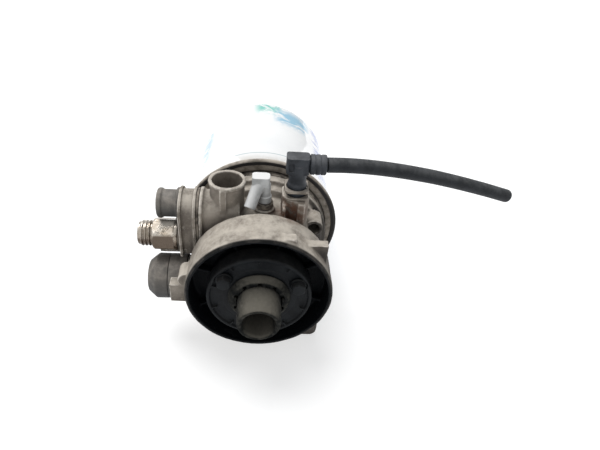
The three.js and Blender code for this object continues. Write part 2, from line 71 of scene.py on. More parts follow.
COVER = dict(back=PEDESTAL["front"] - GAP, thickness=3.7, radius=42)
COVER_BOLTS = (146, 26, -94)
COVER_BOLT_CIRCLE = 33.5
COVER_HOLE = 3.3
SCREW_INSET = 3.6
SCREW_HOLE = 2.3
LOCK_NOTCHES = 10
COVER_TEETH = 10
SKIRT_RIBS = 8
HOSE = dict(radius=6, bore=3.4, length=0.183)
HOSE_ROUTE = [
    (48.5, -1.4, 93), (54, -0.9, 92.9), (62, 0.2, 92.5), (74, 2, 91.4), (87, 4.2, 89.6),
    (100, 6.5, 87.3), (114, 9, 84.5), (128, 11.5, 81.3), (142, 14, 77.9), (156, 16.6, 74),
    (170, 19.2, 69.9), (183, 21.5, 65.9), (195, 23.7, 62.1), (206, 25.6, 58.5), (216, 27.4, 55.1),
    (224, 28.8, 52.4),
]
CAST_VOXEL = 0.9
BLOCK_VOXEL = 0.6
MOULD_VOXEL = 0.45
FINE_VOXEL = 0.4

TO_ROW = Matrix.Translation((0, 0, AXIS_HEIGHT * MM)) @ Matrix.Scale(MM, 4)
FACING = {
    "x": Matrix.Rotation(-math.pi / 2, 4, "Z"),
    "y": Matrix.Identity(4),
    "z": Matrix.Rotation(math.pi / 2, 4, "X"),
}

BODY_OF = {n: b for b, members in frame["record"]["behaviour"]["bodies"].items() for n in members}
SLOT_OF = {part["node"]: part["material_slot"] for part in frame["record"]["subparts"]}


# ---- shapes ----
def solid(verts, faces):
    """A closed mesh with its faces turned outwards."""
    mesh = bpy.data.meshes.new("shape")
    mesh.from_pydata(verts, [], faces)
    form = bmesh.new()
    form.from_mesh(mesh)
    bmesh.ops.recalc_face_normals(form, faces=form.faces)
    form.to_mesh(mesh)
    form.free()
    shape = bpy.data.objects.new("shape", mesh)
    bpy.context.scene.collection.objects.link(shape)
    return shape


def on_circle(radius, degrees):
    angle = math.radians(degrees)
    return radius * math.cos(angle), radius * math.sin(angle)


def rounded(outline, radius=0.4, steps=3):
    """The outline with each of its corners, and not its ends on the axis, turned into a small curve."""
    closed = outline[0] == outline[-1]
    points = [Vector(p) for p in (outline[:-1] if closed else outline)]
    count = len(points)
    soft = []
    for i, corner in enumerate(points):
        if not closed and i in (0, count - 1):
            soft.append(tuple(corner))
            continue
        before, after = points[i - 1] - corner, points[(i + 1) % count] - corner
        start = corner + before.normalized() * min(radius, 0.45 * before.length)
        end = corner + after.normalized() * min(radius, 0.45 * after.length)
        for k in range(steps + 1):
            t = k / steps
            soft.append(tuple(start.lerp(corner, t).lerp(corner.lerp(end, t), t)))
    return soft + soft[:1] if closed else soft


def turned(outline, segments=96):
    """A solid of revolution about Y, from [radius, distance along the axis] points."""
    closed = outline[0] == outline[-1]
    verts, rings = [], []
    for r, h in outline[:-1] if closed else outline:
        if r < 1e-6:
            rings.append([len(verts)] * segments)
            verts.append((0, h, 0))
            continue
        rings.append(range(len(verts), len(verts) + segments))
        for i in range(segments):
            z, x = on_circle(r, 360 * i / segments)
            verts.append((x, h, z))
    faces = []
    for low, high in zip(rings, rings[1:] + (rings[:1] if closed else [])):
        for i in range(segments):
            j = (i + 1) % segments
            face = list(dict.fromkeys((low[i], low[j], high[j], high[i])))
            if len(face) > 2:
                faces.append(face)
    return solid(verts, faces)


def ring(inner, outer, start, end, segments=64, soft=0.3):
    outline = [(inner, start), (outer, start), (outer, end), (inner, end), (inner, start)]
    return turned(rounded(outline, soft) if soft else outline, segments)


def drum(radius, start, end, segments=48):
    return turned([(0, start), (radius, start), (radius, end), (0, end)], segments)


def block(xs, ys, zs):
    verts = [(x, y, z) for x in xs for y in ys for z in zs]
    return solid(verts, [(0, 1, 3, 2), (4, 5, 7, 6), (0, 1, 5, 4), (2, 3, 7, 6), (0, 2, 6, 4), (1, 3, 7, 5)])


def prism(outline, start, end, axis):
    """An outline with a thickness along X or Z."""
    count = len(outline)
    verts = [(w, u, v) if axis == "x" else (u, v, w) for w in (start, end) for u, v in outline]
    sides = [(i, (i + 1) % count, count + (i + 1) % count, count + i) for i in range(count)]
    return solid(verts, [tuple(range(count)), tuple(range(count, 2 * count))] + sides)


def rounded_box(x0, x1, y0, y1, radius, steps=8):
    corners = [(x1 - radius, y1 - radius, 0), (x0 + radius, y1 - radius, 90),
               (x0 + radius, y0 + radius, 180), (x1 - radius, y0 + radius, 270)]
    outline = []
    for x, y, turn in corners:
        for k in range(steps + 1):
            u, v = on_circle(radius, turn + 90 * k / steps)
            outline.append((x + u, y + v))
    return outline


def hexagon(flats, start, end):
    corners = [on_circle(flats / math.sqrt(3), 60 * i) for i in range(6)]
    verts = [(x, h, z) for h in (start, end) for z, x in corners]
    sides = [(i, (i + 1) % 6, 6 + (i + 1) % 6, 6 + i) for i in range(6)]
    return solid(verts, [tuple(range(6)), tuple(range(6, 12))] + sides)


def smooth_line(points, steps):
    """Points along a Catmull-Rom curve through the given points."""
    route = [Vector(p) for p in points]
    route = [2 * route[0] - route[1], *route, 2 * route[-1] - route[-2]]
    line = []
    for a, b, c, d in zip(route, route[1:], route[2:], route[3:]):
        for k in range(steps):
            t = k / steps
            line.append(0.5 * (2 * b + (c - a) * t + (2 * a - 5 * b + 4 * c - d) * t**2
                               + (3 * b - 3 * c + d - a) * t**3))
    return [*line, route[-2]]


def swept(line, section, sides=32):
    """A solid along a line; section lists (index on the line, radius) from one end to the other.
    A closed section runs back inside itself, which leaves a bore."""
    last = len(line) - 1
    tangents = [(line[min(i + 1, last)] - line[max(i - 1, 0)]).normalized() for i in range(last + 1)]
    side = tangents[0].orthogonal().normalized()
    frames = []
    for tangent in tangents:
        side = (side - tangent * side.dot(tangent)).normalized()
        frames.append((side, tangent.cross(side)))
    closed = section[0] == section[-1]
    verts, rings = [], []
    for i, radius in section[:-1] if closed else section:
        rings.append(range(len(verts), len(verts) + sides))
        for k in range(sides):
            u, v = on_circle(radius, 360 * k / sides)
            verts.append(line[i] + frames[i][0] * u + frames[i][1] * v)
    faces = [(a[k], a[(k + 1) % sides], b[(k + 1) % sides], b[k])
             for a, b in zip(rings, rings[1:] + (rings[:1] if closed else [])) for k in range(sides)]
    if not closed:
        faces += [tuple(rings[0]), tuple(rings[-1])]
    return solid(verts, faces)


def at(shape, position, axis="y"):
    """The shape, modelled along Y, turned to face along an axis and moved."""
    shape.data.transform(Matrix.Translation(position) @ FACING[axis])
    return shape


def spun(shape, degrees):
    shape.data.transform(Matrix.Rotation(math.radians(degrees), 4, "Y"))
    return shape


def around(count, make, start=0):
    return [spun(make(), start + 360 * i / count) for i in range(count)]


def baked(shape):
    """Applies the shape's modifiers."""
    graph = bpy.context.evaluated_depsgraph_get()
    mesh = bpy.data.meshes.new_from_object(shape.evaluated_get(graph))
    shape.modifiers.clear()
    shape.data = mesh
    return shape


def combined(shape, others, operation):
    for other in others:
        step = shape.modifiers.new("step", "BOOLEAN")
        step.operation = operation
        step.solver = "MANIFOLD"
        step.object = other
    baked(shape)
    for other in others:
        bpy.data.objects.remove(other)
    return shape


def joined(shapes):
    return combined(shapes[0], shapes[1:], "UNION")


def cut(shape, tools):
    return combined(shape, tools, "DIFFERENCE")


def common(shape, other):
    return combined(shape, [other], "INTERSECT")


def cleaned(shape):
    """Drops the slivers that the joining and cutting left, which the remesher can't take."""
    form = bmesh.new()
    form.from_mesh(shape.data)
    bmesh.ops.remove_doubles(form, verts=form.verts, dist=0.01)
    bmesh.ops.dissolve_degenerate(form, edges=form.edges, dist=0.01)
    bmesh.ops.triangulate(form, faces=form.faces)
    form.to_mesh(shape.data)
    form.free()
    return shape


def moulded(shape, voxel, passes):
    """Even, fine faces and soft corners, as a casting or a moulding has."""
    cleaned(shape)
    even = shape.modifiers.new("even", "REMESH")
    even.mode = "VOXEL"
    even.voxel_size = voxel
    soft = shape.modifiers.new("soft", "SMOOTH")
    soft.iterations = passes
    soft.factor = 0.5
    return baked(shape)


def uneven(shape, amount, size):
    """The slightly wavy skin of a sand-blasted casting."""
    normals = [vertex.normal.copy() for vertex in shape.data.vertices]
    for vertex, normal in zip(shape.data.vertices, normals):
        vertex.co += normal * amount * noise.fractal(vertex.co / size, 0.8, 2, 3)
    return shape


def stand_for(node, shape, *others, crease=32):
    """The finished piece that is shown in place of a CAD node, with that node's body and slot."""
    shape.data.transform(TO_ROW)
    shape.name = f"{node}_fine"
    shape.data.materials.clear()
    shape.data.materials.append(look(node))
    shape.data.polygons.foreach_set("use_smooth", [True] * len(shape.data.polygons))
    shape.data.set_sharp_from_angle(angle=math.radians(crease))
    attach(shape, BODY_OF[node])
    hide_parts(node, *others)
    return shape


# ---- material nodes ----
def shader_node(tree, kind, inputs=None, **settings):
    made = tree.nodes.new(kind)
    for name, value in settings.items():
        setattr(made, name, value)
    for name, value in (inputs or {}).items():
        if isinstance(value, bpy.types.NodeSocket):
            tree.links.new(value, made.inputs[name])
        else:
            made.inputs[name].default_value = value
    return made


def place(tree):
    """The point on the surface, in the row frame at rest."""
    return shader_node(tree, "ShaderNodeTexCoord").outputs["Object"]


def stretched(tree, scale):
    return shader_node(tree, "ShaderNodeMapping", {"Vector": place(tree), "Scale": scale}).outputs["Vector"]


def grain(tree, scale, detail=6.0, roughness=0.6, vector=None, distortion=0.0):
    inputs = {"Vector": vector or place(tree), "Scale": scale, "Detail": detail, "Roughness": roughness,
              "Distortion": distortion}
    return shader_node(tree, "ShaderNodeTexNoise", inputs).outputs["Fac"]


def cells(tree, scale):
    inputs = {"Vector": place(tree), "Scale": scale}
    return shader_node(tree, "ShaderNodeTexVoronoi", inputs).outputs["Distance"]


def math_of(tree, operation, a, b=0.0):
    made = shader_node(tree, "ShaderNodeMath", {0: a, 1: b}, operation=operation)
    return made.outputs[0]


def between(tree, value, low, high):
    """0 below low, 1 above high, smooth between; low above high turns it round."""
    inputs = {"Value": value, "From Min": low, "From Max": high}
    return shader_node(tree, "ShaderNodeMapRange", inputs, interpolation_type="SMOOTHSTEP").outputs["Result"]


def both(tree, a, b):
    return math_of(tree, "MULTIPLY", a, b)


def window(tree, value, start, end, soft):
    """1 from start to end, with soft sides."""
    risen = between(tree, value, start - soft, start + soft)
    return both(tree, risen, between(tree, value, end + soft, end - soft))


def mixed(tree, share, first, second):
    made = tree.nodes.new("ShaderNodeMix")
    made.data_type = "RGBA"
    for socket, value in ((made.inputs[0], share), (made.inputs[6], first), (made.inputs[7], second)):
        if isinstance(value, bpy.types.NodeSocket):
            tree.links.new(value, socket)
        else:
            socket.default_value = (*value, 1) if isinstance(value, tuple) else value
    return made.outputs[2]


def upward(tree):
    """How far the surface faces up at rest, from -1 to 1."""
    normal = shader_node(tree, "ShaderNodeTexCoord").outputs["Normal"]
    return shader_node(tree, "ShaderNodeSeparateXYZ", {"Vector": normal}).outputs["Z"]


def corner(tree, low, high):
    """Where the surface is convex, as on a worn edge."""
    return between(tree, shader_node(tree, "ShaderNodeNewGeometry").outputs["Pointiness"], low, high)


def hollow_shade(tree, distance):
    """Where the surface is closed in and gets less light; the materials darken it there as painted shade."""
    made = shader_node(tree, "ShaderNodeAmbientOcclusion", {"Distance": distance}, samples=6)
    return math_of(tree, "SUBTRACT", 1.0, made.outputs["AO"])


def along_axis(tree):
    """Distance along the dryer's axis and from it, and the angle from its top towards +X, in radians."""
    spot = shader_node(tree, "ShaderNodeSeparateXYZ", {"Vector": place(tree)})
    x, y = spot.outputs["X"], spot.outputs["Y"]
    z = math_of(tree, "SUBTRACT", spot.outputs["Z"], AXIS_HEIGHT * MM)
    radius = math_of(tree, "SQRT", math_of(tree, "ADD", both(tree, x, x), both(tree, z, z)))
    return y, radius, math_of(tree, "ARCTAN2", x, z)


def relief(tree, height, strength, distance, base=None):
    inputs = {"Height": height, "Strength": strength, "Distance": distance}
    if base:
        inputs["Normal"] = base
    return shader_node(tree, "ShaderNodeBump", inputs).outputs["Normal"]


def surface(name, paint):
    """A new material; paint(tree) returns the shader's inputs."""
    material = bpy.data.materials.new(name)
    material.use_nodes = True
    tree = material.node_tree
    shader = tree.nodes["Principled BSDF"]
    for socket, value in paint(tree).items():
        if isinstance(value, bpy.types.NodeSocket):
            tree.links.new(value, shader.inputs[socket])
        else:
            shader.inputs[socket].default_value = value
    return material


# ---- materials ----
DUST = (0.40, 0.34, 0.28)
SOOT = (0.0035, 0.0045, 0.006)
# Remains of the decals: angle from the top towards +X, distance along the axis, colour.
DECALS = (
    (-0.12, 0.25, 0.148, 0.172, (0.16, 0.60, 0.52)),
    (0.18, 0.75, 0.128, 0.160, (0.26, 0.55, 0.74)),
    (0.86, 1.45, 0.055, 0.168, (0.16, 0.24, 0.62)),
    (-1.12, -0.86, 0.080, 0.165, (0.30, 0.50, 0.64)),
)


def dusted(tree, colour, amount, dust=DUST, facing=0.0, scale=90.0):
    """The colour with road dust on it, most where the surface faces up."""
    patches = between(tree, grain(tree, scale, 8.0, 0.65), 0.38, 0.68)
    lying = between(tree, upward(tree), facing - 0.5, facing + 0.6)
    share = both(tree, math_of(tree, "MULTIPLY_ADD", patches, 0.6), lying)
    return mixed(tree, both(tree, share, amount), colour, dust)


def mottled(tree, scale, low, high, detail=7.0, spread=0.15):
    """Two tones in soft patches."""
    return mixed(tree, between(tree, grain(tree, scale, detail), 0.5 - spread, 0.5 + spread), low, high)


def cast_aluminium(tree):
    tone = mottled(tree, 45.0, (0.125, 0.106, 0.088), (0.315, 0.278, 0.235), 9.0, 0.2)
    specks = between(tree, grain(tree, 420.0, 3.0), 0.52, 0.7)
    tone = mixed(tree, both(tree, specks, 0.35), tone, (0.36, 0.32, 0.28))
    lying = between(tree, upward(tree), 0.1, 0.95)
    dusty = both(tree, lying, between(tree, grain(tree, 70.0, 8.0, 0.7), 0.3, 0.62))
    tone = mixed(tree, both(tree, dusty, 0.8), tone, (0.56, 0.51, 0.44))
    # painted shade: faces turned downwards are darkened towards near black
    tone = mixed(tree, both(tree, between(tree, upward(tree), -0.2, -0.9), 0.6), tone, (0.035, 0.027, 0.022))
    # painted shade: hollows are darkened towards near black
    tone = mixed(tree, both(tree, hollow_shade(tree, 0.012), 0.9), tone, (0.022, 0.016, 0.012))
    worn = both(tree, corner(tree, 0.512, 0.55), between(tree, grain(tree, 160.0, 5.0), 0.35, 0.6))
    tone = mixed(tree, both(tree, worn, 0.85), tone, (0.68, 0.63, 0.56))
    # painted shade: the faces on the hose side that don't face up are darkened
    tone = mixed(tree, both(tree, painted_side_shade(tree), 0.85), tone, (0.030, 0.026, 0.023))
    tone, inside = blackened(tree, browned_pocket(tree, tone))
    rough = mixed(tree, inside, (0.82, 0.82, 0.82), (0.55, 0.55, 0.55))
    pits = relief(tree, grain(tree, 900.0, 4.0), 0.35, 0.0004)
    clods = relief(tree, grain(tree, 150.0, 6.0, 0.7), 0.55, 0.0010, pits)
    shine = math_of(tree, "MULTIPLY_ADD", inside, -0.3)
    shine.node.inputs[2].default_value = 0.4
    return {"Base Color": tone, "Roughness": rough, "Normal": clods, "Specular IOR Level": shine}


def painted_side_shade(tree):
    """How far a spot lies to the hose side and below the axis, on faces that don't face up, where the
    casting is darkened as painted shade.
    """
    spot = shader_node(tree, "ShaderNodeSeparateXYZ", {"Vector": place(tree)})
    outward = between(tree, spot.outputs["X"], 0.034, 0.046)
    low = between(tree, spot.outputs["Z"], 0.135, 0.112)
    return both(tree, both(tree, outward, low), between(tree, upward(tree), 0.7, 0.2))


def browned_pocket(tree, tone):
    """Browner and darker, in patches, in the pocket under the hose elbow."""
    inputs = {0: place(tree), 1: (0.0225, -0.011, 0.1265)}
    away = shader_node(tree, "ShaderNodeVectorMath", inputs, operation="DISTANCE").outputs["Value"]
    near = between(tree, away, 0.021, 0.006)
    share = both(tree, near, between(tree, grain(tree, 260.0, 6.0), 0.32, 0.6))
    return mixed(tree, both(tree, share, 0.9), tone, (0.115, 0.050, 0.026))


def blackened(tree, tone):
    """The skirt's hollow front is coated black and scuffed; its rim is only grimy."""
    along, radius, _ = along_axis(tree)
    hollow = both(tree, between(tree, along, -0.0290, -0.0315), between(tree, radius, 0.0577, 0.0568))
    rim = both(tree, between(tree, along, -0.0520, -0.0540), between(tree, radius, 0.0600, 0.0588))
    scuffs = between(tree, grain(tree, 60.0, 4.0, 0.5, stretched(tree, (1, 3, 1)), 2.0), 0.66, 0.72)
    coat = mixed(tree, both(tree, scuffs, 0.15), SOOT, (0.08, 0.08, 0.08))
    grimy = mottled(tree, 120.0, (0.010, 0.010, 0.010), (0.055, 0.050, 0.045))
    tone = mixed(tree, rim, tone, grimy)
    return mixed(tree, hollow, tone, coat), math_of(tree, "MAXIMUM", hollow, rim)


def black_coat(tree):
    tone = mottled(tree, 80.0, SOOT, (0.009, 0.011, 0.013))
    scratches = between(tree, grain(tree, 140.0, 3.0, 0.5, stretched(tree, (1, 1, 7)), 1.5), 0.68, 0.74)
    tone = mixed(tree, both(tree, scratches, 0.15), tone, (0.10, 0.095, 0.09))
    tone = dusted(tree, tone, 0.16, (0.11, 0.10, 0.088), 0.5, 130.0)
    bumps = relief(tree, grain(tree, 500.0, 5.0), 0.3, 0.0004)
    return {"Base Color": tone, "Roughness": 0.6, "Normal": bumps, "Specular IOR Level": 0.15}


def dusty_steel(tree):
    tone = mottled(tree, 110.0, (0.008, 0.009, 0.009), (0.036, 0.035, 0.030), 8.0)
    flecks = both(tree, between(tree, cells(tree, 260.0), 0.5, 0.15), 0.3)
    tone = mixed(tree, flecks, tone, (0.085, 0.080, 0.070))
    tone = mixed(tree, both(tree, between(tree, upward(tree), 0.3, 0.95), 0.6), tone, (0.19, 0.175, 0.145))
    # painted shade: hollows are darkened towards near black
    tone = mixed(tree, both(tree, hollow_shade(tree, 0.010), 0.95), tone, (0.002, 0.003, 0.004))
    clods = relief(tree, grain(tree, 260.0, 7.0, 0.7), 0.5, 0.0007)
    return {"Base Color": tone, "Roughness": 0.85, "Normal": clods, "Specular IOR Level": 0.1}


def nickel_brass(tree):
    tone = mottled(tree, 90.0, (0.46, 0.39, 0.31), (0.74, 0.68, 0.60))
    # painted shade: hollows are darkened
    tone = mixed(tree, both(tree, hollow_shade(tree, 0.006), 0.9), tone, (0.07, 0.05, 0.035))
    # painted shade: faces that don't face up are darkened to dark brown
    tone = mixed(tree, between(tree, upward(tree), 0.62, -0.05), tone, (0.105, 0.078, 0.058))
    rough = between(tree, grain(tree, 160.0, 5.0), 0.0, 1.4)
    lines = relief(tree, grain(tree, 700.0, 3.0, 0.5, stretched(tree, (4, 1, 1))), 0.2, 0.0003)
    return {"Base Color": tone, "Roughness": rough, "Metallic": 0.75, "Normal": lines}


def dark_plastic(tree):
    tone = mottled(tree, 70.0, (0.028, 0.028, 0.028), (0.060, 0.059, 0.056))
    tone = dusted(tree, tone, 0.8, (0.30, 0.27, 0.235), 0.15, 110.0)
    # painted shade: hollows are darkened
    tone = mixed(tree, both(tree, hollow_shade(tree, 0.006), 0.8), tone, (0.010, 0.010, 0.010))
    fine = relief(tree, grain(tree, 800.0, 3.0), 0.25, 0.0002)
    return {"Base Color": tone, "Roughness": 0.68, "Normal": fine}


def elbow_plastic(tree):
    tone = mottled(tree, 90.0, (0.013, 0.016, 0.021), (0.036, 0.041, 0.050))
    tone = dusted(tree, tone, 0.4, (0.22, 0.22, 0.225), 0.45, 140.0)
    fine = relief(tree, grain(tree, 700.0, 3.0), 0.25, 0.0002)
    return {"Base Color": tone, "Roughness": 0.55, "Normal": fine, "Specular IOR Level": 0.3}


def grey_plastic(tree):
    tone = mottled(tree, 80.0, (0.34, 0.35, 0.35), (0.54, 0.55, 0.55))
    # painted light: faces turned up are lightened towards pale grey
    tone = mixed(tree, between(tree, upward(tree), 0.2, 0.9), tone, (0.78, 0.78, 0.77))
    # painted shade: hollows are darkened
    tone = mixed(tree, both(tree, hollow_shade(tree, 0.005), 0.7), tone, (0.10, 0.09, 0.08))
    fine = relief(tree, grain(tree, 500.0, 4.0), 0.25, 0.0003)
    return {"Base Color": tone, "Roughness": 0.6, "Normal": fine}


def decals(tree, tone, along, turn):
    """The flaked blue and green remains of the decals on the can's shoulders."""
    flakes = both(tree, between(tree, grain(tree, 55.0, 7.0, 0.6, distortion=1.2), 0.38, 0.54), 0.9)
    for start, end, near, far, colour in DECALS:
        across = window(tree, turn, start, end, 0.08)
        reach = window(tree, along, near, far, 0.01)
        tone = mixed(tree, both(tree, both(tree, across, reach), flakes), tone, colour)
    return tone


def can_paint(tree):
    """Gloss white paint with worn decals, a thin ring line and road grime by the rim; painted shade tints
    the can's sides blue-grey and turns the rim's grime near black where it doesn't face up.
    """
    along, _, turn = along_axis(tree)
    white = mottled(tree, 30.0, (0.92, 0.93, 0.93), (0.97, 0.97, 0.965), 5.0, 0.2)
    tone = decals(tree, white, along, turn)
    line = both(tree, between(tree, along, 0.0572, 0.0578), between(tree, along, 0.0590, 0.0584))
    tone = mixed(tree, both(tree, line, 0.7), tone, (0.28, 0.42, 0.44))
    cloudy = between(tree, grain(tree, 60.0, 6.0), 0.3, 0.6)
    tinted = both(tree, between(tree, along, 0.0590, 0.0440), cloudy)
    tone = mixed(tree, both(tree, tinted, 0.55), tone, (0.52, 0.46, 0.37))
    # painted shade: faces that don't face up are tinted blue-grey
    tone = mixed(tree, both(tree, between(tree, upward(tree), 0.42, 0.05), 0.75), tone, (0.40, 0.45, 0.54))
    rim = between(tree, along, 0.0462, 0.0436)
    dust = mottled(tree, 90.0, (0.19, 0.165, 0.135), (0.46, 0.41, 0.35))
    # painted shade: the rim's dust goes near black where it doesn't face up
    shaded = mixed(tree, between(tree, upward(tree), 0.62, 0.15), dust, (0.016, 0.014, 0.014))
    tone = mixed(tree, rim, tone, shaded)
    rough = between(tree, rim, -0.2, 1.3)
    dents = relief(tree, grain(tree, 22.0, 3.0), 0.12, 0.002)
    coat = {"Coat Weight": 0.15, "Coat Roughness": 0.12}
    return {"Base Color": tone, "Roughness": rough, "Normal": dents, **coat}


def hose_rubber(tree):
    tone = mottled(tree, 60.0, (0.007, 0.009, 0.012), (0.019, 0.022, 0.027))
    tone = dusted(tree, tone, 0.38, (0.20, 0.20, 0.20), 0.5, 160.0)
    weave = relief(tree, grain(tree, 500.0, 4.0, 0.5, stretched(tree, (1, 3, 3))), 0.3, 0.0003)
    return {"Base Color": tone, "Roughness": 0.6, "Normal": weave, "Specular IOR Level": 0.25}


def rubber(tree):
    tone = mottled(tree, 150.0, (0.014, 0.014, 0.015), (0.040, 0.039, 0.038), 5.0)
    fine = relief(tree, grain(tree, 900.0, 3.0), 0.2, 0.0002)
    return {"Base Color": tone, "Roughness": 0.85, "Normal": fine}


def dusty_rubber(tree):
    tone = mottled(tree, 150.0, (0.055, 0.046, 0.038), (0.27, 0.235, 0.195), 6.0)
    # painted shade: hollows are darkened
    tone = mixed(tree, both(tree, hollow_shade(tree, 0.004), 0.8), tone, (0.03, 0.025, 0.02))
    fine = relief(tree, grain(tree, 600.0, 4.0), 0.3, 0.0003)
    return {"Base Color": tone, "Roughness": 0.9, "Normal": fine}


def plated(low, high, roughness, spots):
    """A plated or bare metal with a mottled tone and fine machining lines."""
    def paint(tree):
        rough = math_of(tree, "MULTIPLY_ADD", grain(tree, spots * 2, 4.0), 0.25)
        rough.node.inputs[2].default_value = roughness
        lines = relief(tree, grain(tree, 900.0, 2.0, 0.5, stretched(tree, (1, 5, 1))), 0.15, 0.0002)
        tone = mottled(tree, spots, low, high, 6.0)
        return {"Base Color": tone, "Roughness": rough, "Metallic": 0.9, "Normal": lines}
    return paint


def dusty_zinc(tree):
    tone = mottled(tree, 130.0, (0.14, 0.12, 0.098), (0.36, 0.32, 0.27))
    tone = dusted(tree, tone, 0.8, (0.50, 0.45, 0.39), 0.2)
    # painted shade: hollows are darkened
    tone = mixed(tree, both(tree, hollow_shade(tree, 0.005), 0.8), tone, (0.045, 0.037, 0.03))
    clods = relief(tree, grain(tree, 350.0, 6.0), 0.4, 0.0004)
    return {"Base Color": tone, "Roughness": 0.75, "Metallic": 0.2, "Normal": clods}


def desiccant(tree):
    beads = cells(tree, 420.0)
    tone = mixed(tree, between(tree, beads, 0.2, 0.7), (0.82, 0.76, 0.62), (0.55, 0.49, 0.38))
    return {"Base Color": tone, "Roughness": 0.95, "Normal": relief(tree, beads, 0.8, -0.001)}


def fleece(tree):
    fibres = grain(tree, 600.0, 8.0, 0.75, stretched(tree, (1, 4, 1)), 1.0)
    tone = mixed(tree, between(tree, fibres, 0.35, 0.65), (0.56, 0.54, 0.48), (0.78, 0.76, 0.70))
    return {"Base Color": tone, "Roughness": 1.0, "Normal": relief(tree, fibres, 0.6, 0.0006)}


PAINTS = {
    "cast_aluminium": cast_aluminium,
    "black_coat": black_coat,
    "dusty_steel": dusty_steel,
    "bright_steel": plated((0.42, 0.42, 0.41), (0.62, 0.62, 0.60), 0.25, 60.0),
    "brass": plated((0.44, 0.30, 0.12), (0.66, 0.49, 0.24), 0.25, 80.0),
    "nickel_brass": nickel_brass,
    "rubber": rubber,
    "hose_rubber": hose_rubber,
    "zinc_plate": plated((0.36, 0.36, 0.34), (0.55, 0.55, 0.52), 0.35, 90.0),
    "dark_plastic": dark_plastic,
    "grey_plastic": grey_plastic,
    "can_paint": can_paint,
    "tin_plate": plated((0.45, 0.46, 0.46), (0.62, 0.63, 0.63), 0.2, 40.0),
    "desiccant": desiccant,
    "fleece": fleece,
}
SPECIAL_PAINTS = {
    "governor_housing": dark_plastic,
    "hose_elbow": elbow_plastic,
    "hose_ferrule": elbow_plastic,
    "elbow_clip": dusty_zinc,
    "valve_block_screw_1": dusty_zinc,
    "valve_block_screw_2": dusty_zinc,
    "valve_block_screw_3": dusty_zinc,
    "valve_block_screw_4": dusty_zinc,
    "valve_block_gasket": dusty_rubber,
    "outlet_fitting_seal": dusty_rubber,
    "breather_grommet": dusty_rubber,
    "cartridge_gasket": dusty_rubber,
    "cartridge_plate": dusty_zinc,
}
made_looks = {}


def look(node):
    """The material of a CAD node, or of the piece that stands for it."""
    paint = SPECIAL_PAINTS.get(node, PAINTS[SLOT_OF[node]])
    name = paint.__name__ if paint in SPECIAL_PAINTS.values() else SLOT_OF[node]
    if name not in made_looks:
        made_looks[name] = surface(f"look_{name}", paint)
    return made_looks[name]


# ---- base casting ----
def cast_shell():
    front, back, radius = SKIRT["front"], SKIRT["back"], SKIRT["radius"]
    step = BARREL["back"]
    return turned([
        (0, front), (radius - 1.2, front), (radius, front + 1.2), (radius, back - 2), (radius - 2.5, back),
        (BARREL["radius"], back + 7), (BARREL["radius"], step - 3), (56, step), (56, step + 6),
        (SEAT["radius"], step + 8), (SEAT["radius"], SEAT["face"]), (0, SEAT["face"]),
    ], 144)


def foot_holes():
    inset = BASE["hole_inset"]
    xs = (BASE["left"] + inset, BASE["right"] - inset)
    ys = (BASE["front"] + inset, BASE["back"] - inset)
    return [(x, y, 0) for x in xs for y in ys]


def mounting_foot():
    floor = -AXIS_HEIGHT
    top = floor + BASE["thickness"]
    left, right, front, back = (BASE[side] for side in ("left", "right", "front", "back"))
    return [
        prism(rounded_box(left, right, front, back, BASE["corner"]), floor, top, "z"),
        block((left, right - 1), (front, front + 9), (top - 1, -20)),
        block((20, right - 1), (front, front + 9), (-21, 18)),
        block((left + 2, left + 9), (-22, 22), (top - 1, -18)),
        block((-12, 12), (-14, back - 12), (top - 1, -45)),
        block((left + 2, 50), (-2, 5), (top - 1, -30)),
        *(at(drum(11, floor, floor + 22), spot, "z") for spot in foot_holes()),
    ]


def top_bosses():
    x, y, seat = ELBOW["x"], ELBOW["y"], ELBOW["seat"]
    radius, top = PORT["radius"], PORT["top"]
    spot = (PORT["x"], PORT["y"], 0)
    lip, inner = PORT["lip"], PORT["bore"] - 1
    edge = [
        (inner, top - 3.4), (lip - 0.6, top - 3.4), (lip, top - 2.6), (lip, top), (inner, top),
        (inner, top - 3.4),
    ]
    return [
        at(drum(radius, 0, top, 96), spot, "z"),
        at(turned(rounded(edge, 0.5)), spot, "z"),
        block((spot[0] - 5, spot[0] + 0.4), (spot[1] - radius - 2.2, spot[1] - 8), (30, top - 1.5)),
        at(drum(10.5, 0, seat - 4), (x, y, 0), "z"),
        block((x - 11, x + 11), (y - 2, y + 12), (30, seat - 4)),
        block((x + 1.1, x + 7.2), (y - 14, y), (20, seat - 5)),
        block((x - 11, x - 8), (y - 14, y), (20, seat - 9)),
        at(drum(8.5, 30, BREATHER["seat"]), (BREATHER["x"], BREATHER["y"], 0), "z"),
    ]


def valve_plate(grow, start, end):
    """The round-topped plate that the valve block, its gasket and its pad share."""
    y, reach = VALVE["y"], VALVE["half"] + grow
    arch = [on_circle(reach, 180 * k / 32) for k in range(33)]
    outline = [(y + reach, VALVE["bottom"] - grow)]
    outline += [(y + u, VALVE["top"] - VALVE["half"] + v) for u, v in arch]
    outline += [(y - reach, VALVE["bottom"] - grow)]
    return prism(outline, start, end, "x")


def side_pads():
    pad = VALVE["right"] + GAP
    governor_spot = (0, GOVERNOR["y"], GOVERNOR["z"])
    return [
        valve_plate(0, pad, -18),
        valve_plate(2, pad, pad + 3),
        at(drum(GOVERNOR["radius"] - 1, GOVERNOR["joint"] + GAP, -20, 72), governor_spot, "x"),
        block((-85.5, -45), (-7, 0), (3.6, 6.4)),
        block((28, 51.5), (-45, -37.5), (18, 47)),
        block((16, 26), (-52, -44), (50, 58)),
        block((-72, -50), (-45, -35.5), (-17, 2)),
        at(drum(6.5, -46, -30), (-58.5, 0, 8)),
        at(drum(8.5, 2, 20), (45, 0, 27)),
    ]


def skirt_rib():
    floor = SKIRT["floor"]
    return block((-1.2, 1.2), (floor - 8, floor + 1), (PEDESTAL["radius"] - 1, SKIRT["radius"] - 3))


